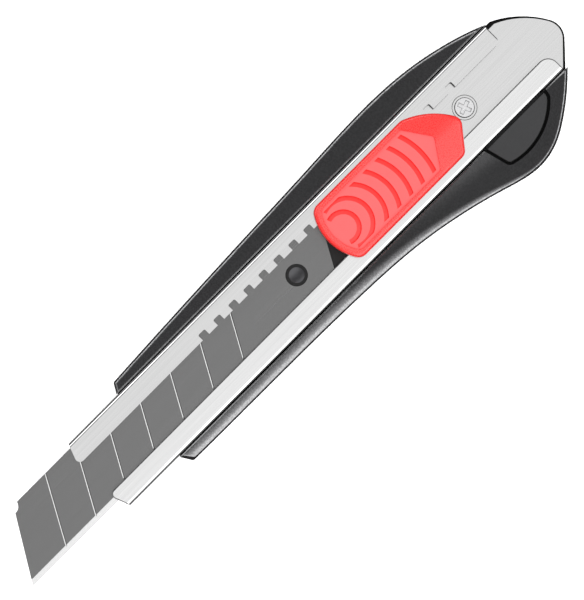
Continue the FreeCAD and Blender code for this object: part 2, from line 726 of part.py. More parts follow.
def grip_plan():
    """The two grips and the flanges between them, from above."""
    upper = [(at(f), trough_half + bulge) for f, bulge in upper_bulge]
    upper.append((upper_lip_end, trough_half))
    lower = [(at(f), -trough_half - bulge) for f, bulge in lower_bulge]
    lower.append((butt_x - grip_tip, -trough_half))
    cheek = rail_half - fit
    edges = [line((front_x, -cheek), (front_x, cheek)),
             line((front_x, cheek), upper[0]),
             curve(upper),
             line(upper[-1], (base_end, trough_half)),
             line((base_end, trough_half), (base_end, -trough_half)),
             line((base_end, -trough_half), lower[-1]),
             curve(lower[::-1]),
             line(lower[0], (front_x, -cheek))]
    return Part.Wire(edges)


def grip_profile():
    """The grips from the side: a flat top, and a back that sweeps up towards both ends."""
    top = grip_top_z
    x0 = front_x - 1
    x1 = butt_x
    flat0 = at(0.13)
    flat1 = at(0.84)
    front_z = back_z + front_rise
    rear_z = back_z + rear_rise
    front_dip = ((flat0 + x0) / 2, back_z + front_rise * 0.25)
    rear_dip = ((flat1 + x1) / 2, back_z + rear_rise * 0.25)
    edges = [line((x0, top), (x1, top)),
             line((x1, top), (x1, rear_z)),
             arc((x1, rear_z), rear_dip, (flat1, back_z)),
             line((flat1, back_z), (flat0, back_z)),
             arc((flat0, back_z), front_dip, (x0, front_z)),
             line((x0, front_z), (x0, top))]
    return Part.Wire(edges)


def plate_blank(grow, z1):
    x0 = at(0.135) - grow
    x1 = at(0.835) + grow
    y = plate_half_width + grow
    return rounded_box(x0, x1, -y, y, 0, z1, plate_corner)


def plate_screw_places():
    return [(at(f), side * plate_screw_y) for f in plate_screws_at for side in (1, -1)]


def grip_stock():
    """The outside shape of the two grips together."""
    solid = prism(grip_plan(), back_z - 1, grip_top_z + 1)
    solid = solid.common(along_y(grip_profile(), -handle_length, handle_length)).removeSplitter()

    def outer(edge):
        return abs(middle(edge).y) > trough_half + rail_gap / 2

    def top(edge, side):
        return level(edge, grip_top_z) and outer(edge) and middle(edge).y * side > 0

    def along_back(edge):
        return outer(edge) and middle(edge).z < back_z + front_rise and edge.Length > handle_length / 16

    def front(edge):
        return outer(edge) and upright(edge) and middle(edge).x < at(0.05) and edge.Length > rail_room

    solid = rounded(solid, back_edge_radius, along_back)
    solid = rounded(solid, front_corner, front)
    solid = rounded(solid, upper_edge_radius, lambda e: top(e, 1))
    return rounded(solid, lower_edge_radius, lambda e: top(e, -1))


def grips():
    """Both grips, still as one body, with the trough, flanges and the plate's seat cut."""
    solid = grip_stock()
    long = handle_length
    solid = solid.cut(box(-long, long, -trough_half, trough_half, flange_top_z, grip_top_z + 1))
    solid = solid.cut(box(-long, long, -flange_inner, flange_inner, 0, grip_top_z))
    solid = solid.cut(plate_blank(fit, flange_z))
    wide = trough_half + trough_chamfer
    bevel_z = grip_top_z - trough_chamfer
    bevel = polygon((-wide, grip_top_z), (wide, grip_top_z), (trough_half, bevel_z),
                    (-trough_half, bevel_z))
    chamfer = Part.Face(bevel).extrude(V(0, 0, 2 * long))
    chamfer.rotate(V(0, 0, 0), V(1, 1, 1), 120)
    chamfer.translate(V(-long, 0, 0))
    solid = solid.cut(chamfer)
    for x, y in plate_screw_places():
        solid = solid.cut(disc(thread_radius + fit, x, y, 0, flange_top_z + 1))
    return solid


def upper_grip():
    long = handle_length
    return grips().common(box(-long, long, 0, long, 0, grip_top_z + 1))


def lower_grip():
    long = handle_length
    solid = grips().common(box(-long, long, -long, 0, 0, grip_top_z + 1))
    return solid.cut(window_prism(0, flange_top_z, grip_top_z + 1))


def back_plate():
    """The plate that joins the two grips at the back, and that the knife lies on."""
    solid = rounded(plate_blank(0, plate_thickness), plate_edge, lambda e: level(e, 0))
    for x, y in plate_screw_places():
        solid = solid.cut(plate_screw_head(x, y, fit))
        solid = solid.cut(disc(plate_head_radius + fit, x, y, -1, plate_head_sunk))
        solid = solid.cut(disc(thread_radius + neck_flare, x, y, 0, 2 * plate_thickness))
    for index in range(rib_count):
        for side in (1, -1):
            x = side * (rib_start + index * rib_pitch)
            groove = box(x - rib_width / 2, x + rib_width / 2, -rib_half, rib_half, -1, rib_depth)
            solid = solid.cut(groove)
    return solid


def plate_screw_head(x, y, grow):
    z1 = plate_head_sunk + plate_head_depth
    neck = thread_radius + neck_flare - fit + grow
    return cone(plate_head_radius + grow, neck, x, y, plate_head_sunk, z1)


def back_screws():
    screws = []
    for x, y in plate_screw_places():
        shank = disc(thread_radius, x, y, plate_head_sunk + overlap, flange_top_z)
        recess_z = plate_head_sunk + plate_recess_depth
        recess = cross_recess(x, y, -1, recess_z, plate_recess_span, plate_recess_width)
        screws.append(plate_screw_head(x, y, 0).fuse(shank).cut(recess).removeSplitter())
    return Part.makeCompound(screws)


# ---- release button ------------------------------------------------------------------------------
def window_prism(inset, z0, z1):
    """The half-moon window beside the rail, its straight side run on into the trough."""
    length = window_x1 - window_x0
    edge = -trough_half

    def place(along, out):
        return window_x0 + along * length, edge - out * button_reach

    inner = -lip_inner_y
    edges = [line((window_x0, inner), place(0.0, 0.0)),
             line(place(0.0, 0.0), place(0.085, 0.88)),
             arc(place(0.085, 0.88), place(0.38, 1.0), place(0.985, 0.24)),
             line(place(0.985, 0.24), place(1.0, 0.0)),
             line(place(1.0, 0.0), (window_x1, inner)),
             line((window_x1, inner), (window_x0, inner))]
    wire = Part.Wire(edges)
    solid = prism(wire.makeOffset2D(-inset) if inset else wire, z0, z1)
    return rounded(solid, window_rounding - inset, lambda e: upright(e) and middle(e).y < edge - 1.2)


def beyond(y, solid):
    """Keeps what lies outside y, away from the rail."""
    return solid.common(box(window_x0 - 5, window_x1 + 5, -60, y, 0, 40))


def button_guide():
    """The black guide round the button, open towards the rail."""
    shelf_z = key_z + key_height + fit
    outer = window_prism(fit, flange_top_z + fit, grip_top_z - bezel_drop)
    outer = outer.cut(window_prism(bezel_width, shelf_z, grip_top_z))
    outer = outer.cut(window_prism(bezel_width - button_flange, 0, shelf_z))
    return beyond(-trough_half, outer)


def release_button():
    """The half-moon button: a flange stops it in the guide, and its key stands in the rail's relief."""
    shelf_z = key_z + key_height
    inner_y = -rail_half - key_clear
    body_y = -rail_half - button_gap
    body = beyond(body_y, window_prism(bezel_width + button_clear, key_z, button_top_z))
    body = rounded(body, button_edge, lambda e: level(e, button_top_z) and middle(e).y < body_y - fit)
    flange = beyond(inner_y, window_prism(bezel_width - button_flange + button_clear, key_z, shelf_z))
    key = box(butt_x - key_front + 2 * key_clear, butt_x - key_rear - 2 * key_clear, -rail_half - overlap,
              key_depth - rail_half - key_clear, key_z, shelf_z)
    return body.fuse([flange, key]).removeSplitter()


def button_spring():
    """The coil spring under the button, its wire drawn with flats so that it stays simple."""
    x = (window_x0 + window_x1) / 2 - spring_ahead
    y = -trough_half - spring_out
    half = spring_wire / 2
    z0 = flange_top_z + half + fit
    height = key_z - fit - half - z0
    helix = Part.makeHelix(height / spring_turns, height, spring_radius)
    corners = []
    for index in range(wire_sides):
        turn = 2 * math.pi * index / wire_sides
        corners.append(V(spring_radius + half * math.cos(turn), 0, half * math.sin(turn)))
    section = Part.makePolygon(corners + corners[:1])
    coil = Part.Wire(helix).makePipeShell([section], True, True)
    coil.translate(V(x, y, z0))
    return coil


nodes = {
    "blade": placed_blade,
    "blade_carrier": blade_carrier,
    "blade_peg": blade_peg,
    "lock_spring": lock_spring,
    "spring_rivets": spring_rivets,
    "thumb_slider": thumb_slider,
    "thumb_pad": thumb_pad,
    "channel_rail": channel_rail,
    "rail_screw": rail_screw,
    "screw_insert": screw_insert,
    "cartridge_tray": cartridge_tray,
    "upper_grip": upper_grip,
    "lower_grip": lower_grip,
    "back_plate": back_plate,
    "back_screws": back_screws,
    "button_guide": button_guide,
    "release_button": release_button,
    "button_spring": button_spring,
}

os.makedirs("parts", exist_ok=True)
for name, make in nodes.items():
    make().exportStep("parts/" + name + ".step")
for number in range(spare_count):
    spare_blade(number).exportStep("parts/spare_blade_" + str(number + 1) + ".step")
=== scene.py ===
import json
import math

import bmesh
import bpy
from bpy.props import FloatProperty, FloatVectorProperty, PointerProperty
from mathutils import Matrix, Vector

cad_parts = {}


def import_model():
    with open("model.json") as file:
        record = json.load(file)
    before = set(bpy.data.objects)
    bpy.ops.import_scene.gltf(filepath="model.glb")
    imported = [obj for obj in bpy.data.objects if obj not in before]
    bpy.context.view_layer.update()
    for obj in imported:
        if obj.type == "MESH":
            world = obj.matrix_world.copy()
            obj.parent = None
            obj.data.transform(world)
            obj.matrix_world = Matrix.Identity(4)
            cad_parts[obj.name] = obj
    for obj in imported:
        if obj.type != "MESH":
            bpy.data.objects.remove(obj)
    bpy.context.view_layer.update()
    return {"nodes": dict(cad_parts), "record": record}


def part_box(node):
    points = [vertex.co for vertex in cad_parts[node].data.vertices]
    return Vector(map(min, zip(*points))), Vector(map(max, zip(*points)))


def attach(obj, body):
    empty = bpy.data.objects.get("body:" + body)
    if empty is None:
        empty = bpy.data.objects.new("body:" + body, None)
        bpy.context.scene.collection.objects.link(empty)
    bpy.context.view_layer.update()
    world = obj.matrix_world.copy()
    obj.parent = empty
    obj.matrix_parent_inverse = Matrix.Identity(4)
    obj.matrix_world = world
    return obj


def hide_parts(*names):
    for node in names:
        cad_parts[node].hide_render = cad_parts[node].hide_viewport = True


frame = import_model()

bl_info = {
    "name": "Snap-off utility knife",
    "version": (1, 0, 0),
    "blender": (4, 5, 0),
    "location": "View3D > Sidebar > Knife",
    "description": "Finishes the pieces of a snap-off utility knife and sets up a studio table round it",
    "category": "Object",
}

MM = 0.001

# The lower grip's crown: the lean of the grip's front end, where its radii start and stop to change, the
# tilts at which one arc hands over to the next, and how finely it is made.
FRONT_LEAN = math.radians(31.5)
CROWN_START = -20 * MM
CROWN_END = 45 * MM
QUARTER = math.radians(90)
STEEP = math.radians(19)
GENTLE = math.radians(8)
STATIONS = 240
TURNS = 7
SMOOTHINGS = 3
PROBE_HEIGHT = 6 * MM      # where the probes meet the grip's outer wall, above the table
PROBE_START = 80 * MM      # how far outside the wall they start
OUTER_MARGIN = 3 * MM      # how far the form reaches past the grip, outwards, inwards, up, down and endwards
INNER_MARGIN = 30 * MM
UPPER_MARGIN = 1 * MM
LOWER_MARGIN = 1 * MM
END_MARGIN = 2 * MM

# What the camera looks at: the middle of the knife, at the height of the rail's lips.
AIM = (-24.13 * MM, -3.4 * MM, 12.0 * MM)
SENSOR = 36.0
TABLE_HALF = 6.0
TABLE_DROP = 0.02 * MM     # keeps the table clear of the back plate


# ---- colours and nodes -------------------------------------------------------------------------------

def linear(code):
    """Turns an sRGB hex colour into linear red, green and blue."""
    channels = [int(code[i:i + 2], 16) / 255 for i in (1, 3, 5)]
    return [c / 12.92 if c <= 0.04045 else ((c + 0.055) / 1.055) ** 2.4 for c in channels]


def add(tree, kind, sockets=None, stops=(), **settings):
    """Adds a shader node with its settings, its colour ramp's stops and its sockets.

    Each stop is a position and a colour. A socket's value is linked if it is an output, or a node, which
    stands for its first output, and is set if it is anything else.
    """
    made = tree.nodes.new("ShaderNode" + kind)
    for name, value in settings.items():
        setattr(made, name, value)
    if stops:
        elements = made.color_ramp.elements
        for position, colour in stops[1:-1]:
            elements.new(position)
        for element, (position, colour) in zip(elements, stops):
            element.position = position
            element.color = (*colour, 1.0)
    for name, value in (sockets or {}).items():
        if isinstance(value, bpy.types.Node):
            value = value.outputs[0]
        if isinstance(value, bpy.types.NodeSocket):
            tree.links.new(value, made.inputs[name])
        else:
            made.inputs[name].default_value = value
    return made


def start(name):
    """An empty material, its node tree, and the place in metres, fixed to the piece."""
    material = bpy.data.materials.new(name)
    material.use_nodes = True
    tree = material.node_tree
    tree.nodes.clear()
    return material, tree, add(tree, "TexCoord").outputs["Object"]


def facing(tree):
    """The way the surface faces, as X, Y and Z outputs fixed to the piece."""
    return add(tree, "SeparateXYZ", {"Vector": add(tree, "TexCoord").outputs["Normal"]}).outputs


def streaks(tree, place, spacing, length, detail):
    """Noise drawn out along X: lines that lie spacing apart and fade over about length."""
    stretched = add(tree, "Mapping", {"Vector": place, "Scale": (1 / length, 1 / spacing, 1 / spacing)})
    return add(tree, "TexNoise", {"Vector": stretched, "Scale": 1.0, "Detail": detail})


def shade(tree, colour, noise, low, high):
    """A colour made lighter and darker by a noise, whose values lie mostly between 0.3 and 0.7."""
    level = {"Value": noise, "From Min": 0.3, "From Max": 0.7, "To Min": low, "To Max": high}
    return add(tree, "VectorMath", {0: colour, "Scale": add(tree, "MapRange", level)}, operation="SCALE")


def surface(tree, sockets):
    """Closes a material with the shader that its colour, roughness and relief go into."""
    add(tree, "OutputMaterial", {"Surface": add(tree, "BsdfPrincipled", sockets)})


# ---- pieces ------------------------------------------------------------------------------------------

def finish(material, *nodes):
    """Gives CAD nodes a material in place of the one they came with."""
    for name in nodes:
        mesh = frame["nodes"][name].data
        mesh.materials.clear()
        mesh.materials.append(material)


def body_of(node):
    return next(body for body, nodes in frame["record"]["behaviour"]["bodies"].items() if node in nodes)


def blank(node, name):
    """A new piece that starts as a welded copy of a CAD node."""
    work = bmesh.new()
    work.from_mesh(frame["nodes"][node].data)
    bmesh.ops.remove_doubles(work, verts=work.verts, dist=0.0005 * MM)
    bmesh.ops.dissolve_limit(work, angle_limit=math.radians(0.2), verts=work.verts, edges=work.edges)
    mesh = bpy.data.meshes.new(name)
    work.to_mesh(mesh)
    work.free()
    piece = bpy.data.objects.new(name, mesh)
    bpy.context.scene.collection.objects.link(piece)
    return piece


def smooth(piece, angle):
    mesh = piece.data
    mesh.polygons.foreach_set("use_smooth", [True] * len(mesh.polygons))
    mesh.set_sharp_from_angle(angle=math.radians(angle))


def weigh(piece):
    """Lets the large flats keep their own normals, and only the small faces between them blend."""
    weighted = piece.modifiers.new("weighted normals", "WEIGHTED_NORMAL")
    weighted.keep_sharp = True


def stand_for(piece, node, material):
    """Puts a finished piece in a CAD node's place."""
    piece.data.materials.clear()
    piece.data.materials.append(material)
    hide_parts(node)
    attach(piece, body_of(node))


def carve(piece, form):
    """Cuts a piece down to what lies inside a closed form."""
    cut = piece.modifiers.new("carve", "BOOLEAN")
    cut.operation = "INTERSECT"
    cut.solver = "EXACT"
    cut.object = form
    graph = bpy.context.evaluated_depsgraph_get()
    carved = bpy.data.meshes.new_from_object(piece.evaluated_get(graph))
    piece.modifiers.clear()
    piece.data = carved
    bpy.data.objects.remove(form)


# ---- settings ----------------------------------------------------------------------------------------

class KnifeSizes(bpy.types.PropertyGroup):
    corner: FloatProperty(name="Corner", description="Radius of the lower grip's outer corner",
                          default=0.62 * MM, unit="LENGTH")
    crown_front: FloatProperty(name="Crown at the front", description="Radius of the crown along the rail",
                               default=8.2 * MM, unit="LENGTH")
    crown_rear: FloatProperty(name="Crown at the rear", description="Radius of the crown round the button",
                              default=1.2 * MM, unit="LENGTH")
    swell_front: FloatProperty(name="Swell at the front", default=16.0 * MM, unit="LENGTH",
                               description="Radius of the faint swell between the crown and the flat")
    swell_rear: FloatProperty(name="Swell at the rear", default=3.0 * MM, unit="LENGTH",
                              description="Radius of the same swell round the button")


class KnifeColours(bpy.types.PropertyGroup):
    blade: FloatVectorProperty(name="Blade", description="Flat of the blade", subtype="COLOR",
                               default=linear("#787878"), min=0, max=1)
    bevel: FloatVectorProperty(name="Ground edge", description="Ground bevel along the cutting edge",
                               subtype="COLOR", default=linear("#B6B6B6"), min=0, max=1)
    rail: FloatVectorProperty(name="Rail", description="Folded stainless sheet", subtype="COLOR",
                              default=linear("#E6E6E6"), min=0, max=1)
    grip: FloatVectorProperty(name="Grips", description="Metallic paint of the grips", subtype="COLOR",
                              default=linear("#2E2E2F"), min=0, max=1)
    # A painted highlight on the grips' edges, where they turn over towards the lights.
    edge_highlight: FloatVectorProperty(name="Painted edge highlight", description="Painted highlight where the edges turn over",
                                 subtype="COLOR", default=linear("#8E8E8F"), min=0, max=1)
    slider: FloatVectorProperty(name="Slider", description="Thumb slider", subtype="COLOR",
                                default=linear("#DE1A16"), min=0, max=1)
    # Paler than the slider's red: a painted highlight for the pad's upward-facing flat.
    pad: FloatVectorProperty(name="Thumb pad", description="Pad with treads in the slider",
                             subtype="COLOR", default=linear("#E24A4A"), min=0, max=1)
    button: FloatVectorProperty(name="Button", description="Half-moon release button", subtype="COLOR",
                                default=linear("#222223"), min=0, max=1)
    black: FloatVectorProperty(name="Black mouldings", description="Tray, guide, back plate and carrier",
                               subtype="COLOR", default=linear("#060606"), min=0, max=1)


class KnifePatterns(bpy.types.PropertyGroup):
    brushing: FloatProperty(name="Brushed lines", description="Spacing of the rail's brushed lines",
                            default=0.35 * MM, unit="LENGTH")
    grinding: FloatProperty(name="Ground lines", description="Spacing of the blade's ground lines",
                            default=0.3 * MM, unit="LENGTH")
    flake: FloatProperty(name="Paint flake", description="Size of the flakes in the grips' paint",
                         default=0.22 * MM, unit="LENGTH")
    grain: FloatProperty(name="Moulded grain", description="Size of the spark-eroded grain on plastic",
                         default=0.3 * MM, unit="LENGTH")


class StageSettings(bpy.types.PropertyGroup):
    turn: FloatProperty(name="Camera turn", description="Angle between the knife and the frame",
                        default=math.radians(45.15), subtype="ANGLE")
    height: FloatProperty(name="Camera height", description="Camera above the rail", default=0.9,
                          unit="LENGTH")
    framed: FloatProperty(name="Framed height", description="Height of the table that the camera takes in",
                          default=151.35 * MM, unit="LENGTH")
    key: FloatProperty(name="Key light", description="Radiance of the softbox on the cutting edge's side",
                       default=2.0)
    rim: FloatProperty(name="Rim light", description="Radiance of the softbox on the spine's side",
                       default=2.2)
    fill: FloatProperty(name="Fill light", description="Radiance of the sky panel over the table",
                        default=3.0)
    room: FloatProperty(name="Room light", description="Strength of the light overhead", default=1.03)


# ---- blade -------------------------------------------------------------------------------------------

class KNIFE_OT_blade(bpy.types.Operator):
    """Finishes the blade and the spare blades"""
    bl_idname = "knife.blade"
    bl_label = "Blade"

    def execute(self, context):
        colours = context.scene.knife_colours
        spacing = context.scene.knife_patterns.grinding
        finish(tool_steel_ground(colours, spacing), "blade", "spare_blade_1", "spare_blade_2")
        return {"FINISHED"}


def tool_steel_ground(colours, spacing):
    # Carbon tool steel, ground along its length and oiled: an even grey with faint lines along the blade.
    # The ground bevel, which is all that faces a little way off the flat, is paler: partly the fresh steel's
    # own colour and partly a painted highlight. Steep walls take a painted highlight, and the walls that
    # face the tip, such as the rear wall of each score line, take a painted shade over it.
    material, tree, place = start("tool_steel_ground")
    lines = streaks(tree, place, spacing, 40 * MM, 3.0)
    normal = facing(tree)
    level = add(tree, "Math", {0: normal["Z"]}, operation="ABSOLUTE")
    # Painted highlight on the steep walls, and a partly painted highlight on the bevel.
    cut = linear("#B4B4B4")
    ground = ((0.0, cut), (0.95, cut), (0.97, colours.bevel), (0.994, colours.bevel), (0.997, colours.blade))
    steel = add(tree, "ValToRGB", {"Fac": level}, ground)
    # Painted shade on the walls that face the tip.
    wall_shade = add(tree, "MapRange", {"Value": normal["X"], "From Min": -0.3, "From Max": -0.1, "To Min": 0.1})
    wall_shaded_steel = add(tree, "VectorMath", {0: steel, "Scale": wall_shade}, operation="SCALE")
    surface(tree, {"Base Color": shade(tree, wall_shaded_steel, lines, 0.95, 1.05), "Metallic": 0.95,
                   "Roughness": add(tree, "MapRange", {"Value": lines, "To Min": 0.2, "To Max": 0.3}),
                   "Normal": add(tree, "Bump", {"Height": lines, "Strength": 0.1, "Distance": 0.01 * MM})})
    return material


# ---- rail --------------------------------------------------------------------------------------------

class KNIFE_OT_rail(bpy.types.Operator):
    """Brushes the folded steel rail"""
    bl_idname = "knife.rail"
    bl_label = "Rail"

    def execute(self, context):
        scene = context.scene
        steel = stainless_sheet_brushed(scene.knife_colours, scene.knife_patterns.brushing)
        finish(steel, "channel_rail")
        return {"FINISHED"}


def stainless_sheet_brushed(colours, spacing):
    # Stainless sheet, brushed along its length: bright, with soft streaks that run down the rail. The sheet
    # is painted darker below the lips and towards the spine's side, a painted shade; only the lip on the
    # cutting edge's side, which faces the key light, keeps the full brightness.
    material, tree, place = start("stainless_sheet_brushed")
    lines = streaks(tree, place, spacing, 35 * MM, 4.0)
    spot = add(tree, "SeparateXYZ", {"Vector": place}).outputs
    raised = add(tree, "MapRange", {"Value": spot["Z"], "From Min": 9 * MM, "From Max": 11 * MM})
    edge_side = add(tree, "MapRange", {"Value": spot["Y"], "From Min": 4 * MM, "From Max": -4 * MM})
    lit_lip = add(tree, "Math", {0: raised, 1: edge_side}, operation="MULTIPLY")
    # Painted shade: the sheet's colour darkened to 0.87 away from the lit lip.
    shaded_sheet = [0.87 * channel for channel in colours.rail]
    sheet_shading = add(tree, "ValToRGB", {"Fac": lit_lip}, ((0.0, shaded_sheet), (1.0, colours.rail)))
    surface(tree, {"Base Color": shade(tree, sheet_shading, lines, 0.95, 1.03), "Metallic": 1.0,
                   "Roughness": add(tree, "MapRange", {"Value": lines, "To Min": 0.08, "To Max": 0.16}),
                   "Normal": add(tree, "Bump", {"Height": lines, "Strength": 0.08, "Distance": 0.01 * MM})})
    return material


# ---- grips -------------------------------------------------------------------------------------------

class KNIFE_OT_grips(bpy.types.Operator):
    """Crowns the lower grip along its outer edge, and paints both grips"""
    bl_idname = "knife.grips"
    bl_label = "Grips"

    def execute(self, context):
        scene = context.scene
        colours = scene.knife_colours
        flake = scene.knife_patterns.flake
        # Two lit copies of the paint: on the upper grip the painted highlight band sits at a steeper tilt,
        # towards the rim light.
        paint = zinc_casting_painted("zinc_casting_gunmetal_paint", colours, flake, 0.932, 0.943)
        highlit = zinc_casting_painted("zinc_casting_gunmetal_paint_rim_lit", colours, flake, 0.87, 0.9)
        grip = blank("lower_grip", "lower_grip_casting")
        carve(grip, crown(scene.knife_sizes))
        smooth(grip, 30)
        weigh(grip)
        stand_for(grip, "lower_grip", paint)
        finish(highlit, "upper_grip")
        return {"FINISHED"}


def crown(sizes):
    """A closed form under the lower grip's top: flat by the rail, and rolling over to its outer edge."""
    casting = frame["nodes"]["lower_grip"]
    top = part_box("lower_grip")[1].z
    inward = Vector((-math.sin(FRONT_LEAN), math.cos(FRONT_LEAN), 0))
    forth = Vector((inward.y, -inward.x, 0))
    reach = [vertex.co.dot(forth) for vertex in casting.data.vertices]
    front, rear = min(reach), max(reach)
    outline = []
    for step in range(STATIONS + 1):
        # The first and last probes stay a thousandth of the length inside the ends, so that none misses.
        station = front + (rear - front) * (0.001 + 0.998 * step / STATIONS)
        origin = forth * station - inward * PROBE_START
        hit, place, normal, face = casting.ray_cast(origin + Vector((0, 0, PROBE_HEIGHT)), inward)
        outline.append(place)
    for turn in range(SMOOTHINGS):
        middle = [(one + spot + other) / 3 for one, spot, other in zip(outline, outline[1:], outline[2:])]
        outline = [outline[0], *middle, outline[-1]]
    rows = []
    for index, spot in enumerate(outline):
        after = outline[min(index + 1, STATIONS)]
        before = outline[max(index - 1, 0)]
        slant = inward.cross(after - before).z / (after - before).length
        blend = min(max((spot.x - CROWN_START) / (CROWN_END - CROWN_START), 0.0), 1.0)
        roll = sizes.crown_front + (sizes.crown_rear - sizes.crown_front) * blend
        travel = (spot - outline[0]).dot(forth)
        nose = sizes.corner * (1 - math.sqrt(1 - max(1 - travel / sizes.corner, 0.0) ** 2))
        swell = sizes.swell_front + (sizes.swell_rear - sizes.swell_front) * blend
        arcs = ((sizes.corner, QUARTER, STEEP), (roll, STEEP, GENTLE), (swell, GENTLE, 0.0))
        rows.append(section(spot, inward, abs(slant), top - nose, arcs))
    rows.insert(0, [point - forth * END_MARGIN for point in rows[0]])
    rows.append([point + forth * END_MARGIN for point in rows[-1]])
    return loft("crown", rows)


def section(spot, inward, slant, top, arcs):
    """One ring of the form: arcs, each with its radius and its first and last tilt, up to the flat."""
    ring = [(0.0, 0.0)]
    for radius, first, last in arcs:
        foot, rise = ring[-1]
        for turn in range(1, TURNS + 1):
            tilt = first + (last - first) * turn / TURNS
            ring.append((foot + radius * (math.sin(first) - math.sin(tilt)),
                         rise + radius * (math.cos(tilt) - math.cos(first))))
    drop = ring[-1][1]
    points = [spot + inward * across / slant for across, rise in ring]
    made = [Vector((point.x, point.y, top + rise - drop)) for point, (across, rise) in zip(points, ring)]
    outer = spot - inward * OUTER_MARGIN
    inner = spot + inward * INNER_MARGIN
    made.insert(0, Vector((outer.x, outer.y, made[0].z)))
    made.append(Vector((inner.x, inner.y, top + UPPER_MARGIN)))
    made.append(Vector((inner.x, inner.y, -LOWER_MARGIN)))
    made.append(Vector((outer.x, outer.y, -LOWER_MARGIN)))
    return made


def loft(name, rows):
    """A closed solid through rings of points."""
    work = bmesh.new()
    rings = [[work.verts.new(point) for point in row] for row in rows]
    count = len(rings[0])
    for one, other in zip(rings, rings[1:]):
        for index in range(count):
            after = (index + 1) % count
            work.faces.new((one[index], one[after], other[after], other[index]))
    work.faces.new(rings[0])
    work.faces.new(rings[-1][::-1])
    bmesh.ops.recalc_face_normals(work, faces=work.faces)
    mesh = bpy.data.meshes.new(name)
    work.to_mesh(mesh)
    work.free()
    made = bpy.data.objects.new(name, mesh)
    bpy.context.scene.collection.objects.link(made)
    return made


def zinc_casting_painted(name, colours, flake, shaded, highlit):
    # Zinc die casting in gunmetal metallic paint: a dark sheen, speckled by the flakes in the lacquer. The
    # colour follows how far each face tilts: painted highlight where the edges turn over and on the chamfers
    # along the rail, painted shade on the outline between, and a painted lighter gradient where the crown
    # eases into the flat. The last two arguments are the upward facings between which the painted shade
    # gives way to the painted highlight.
    material, tree, place = start(name)
    flakes = add(tree, "TexVoronoi", {"Vector": place, "Scale": 1 / flake})
    # Painted shade for the outline and the edges of the chamfers.
    outline_shade = linear("#161617")
    # Painted highlight on the chamfers along the rail.
    chamfer_highlight = linear("#8A8A8B")
    side = ((0.0, colours.grip), (0.3, colours.grip), (0.4, outline_shade))
    chamfer = ((0.66, outline_shade), (0.69, chamfer_highlight), (0.73, chamfer_highlight), (0.76, outline_shade))
    # Painted highlight band where the edge turns over.
    turn = ((shaded, outline_shade), (highlit, colours.edge_highlight), (0.97, colours.edge_highlight))
    # Painted lighter gradient where the crown eases into the flat.
    swell = ((0.985, linear("#666667")), (0.9976, linear("#4C4C4D")), (1.0, colours.grip))
    paint = add(tree, "ValToRGB", {"Fac": facing(tree)["Z"]}, side + chamfer + turn + swell)
    relief = {"Height": flakes.outputs["Distance"], "Strength": 0.08, "Distance": 0.02 * MM}
    surface(tree, {"Base Color": shade(tree, paint, flakes.outputs["Color"], 0.8, 1.2), "Metallic": 0.9,
                   "Roughness": 0.25, "Normal": add(tree, "Bump", relief),
                   "Coat Weight": 0.15, "Coat Roughness": 0.25})
    return material


# ---- slider ------------------------------------------------------------------------------------------

class KNIFE_OT_slider(bpy.types.Operator):
    """Finishes the thumb slider and its pad"""
    bl_idname = "knife.slider"
    bl_label = "Thumb slider"

    def execute(self, context):
        colours = context.scene.knife_colours
        grain = context.scene.knife_patterns.grain
        # The deeper red on the slopes is painted shade.
        slope_shade = linear("#C81410")
        body = moulded("abs_moulded_red", colours.slider, slope_shade, grain, 0.27, 0.9, 0.01)
        # The pad's paler red is the slider's red with a painted highlight on its flat.
        soft = moulded("elastomer_moulded_light_red", colours.pad, slope_shade, grain, 0.5, 0.5, 0.06)
        finish(body, "thumb_slider")
        finish(soft, "thumb_pad")
        return {"FINISHED"}


def moulded(name, colour, slope_shade, grain, roughness, gloss, depth):
    # Injection-moulded plastic from a spark-eroded tool: a fine even grain under a soft sheen. Faces that
    # look up take the given colour and slopes take the deeper one, a painted shade for the light falling off
    # on them.
    material, tree, place = start(name)
    speckle = add(tree, "TexNoise", {"Vector": place, "Scale": 1 / grain, "Detail": 2.0})
    cloud = add(tree, "TexNoise", {"Vector": place, "Scale": 1 / (11 * MM), "Detail": 2.0})
    shaded_skin = add(tree, "ValToRGB", {"Fac": facing(tree)["Z"]}, ((0.0, slope_shade), (0.93, slope_shade), (0.99, colour)))
    sheen = {"Value": speckle, "To Min": roughness - 0.06, "To Max": roughness + 0.08}
    relief = {"Height": speckle, "Strength": 0.2, "Distance": depth * MM}
    surface(tree, {"Base Color": shade(tree, shaded_skin, cloud, 0.96, 1.04),
                   "Roughness": add(tree, "MapRange", sheen),
                   "Specular IOR Level": gloss, "Normal": add(tree, "Bump", relief)})
    return material


# ---- mouldings ---------------------------------------------------------------------------------------

class KNIFE_OT_mouldings(bpy.types.Operator):
    """Finishes the carrier, tray, guide, back plate and release button"""
    bl_idname = "knife.mouldings"
    bl_label = "Mouldings"

    def execute(self, context):
        colours = context.scene.knife_colours
        black = colours.black
        grain = context.scene.knife_patterns.grain
        finish(moulded("acetal_moulded_black", black, black, grain, 0.45, 0.35, 0.03), "blade_carrier")
        finish(moulded("abs_moulded_black", black, black, grain, 0.6, 0.08, 0.05), "cartridge_tray",
               "back_plate", "button_guide")
        finish(moulded("abs_moulded_dark_grey", colours.button, black, grain, 0.6, 0.4, 0.06),
               "release_button")
        return {"FINISHED"}


# ---- fittings ----------------------------------------------------------------------------------------

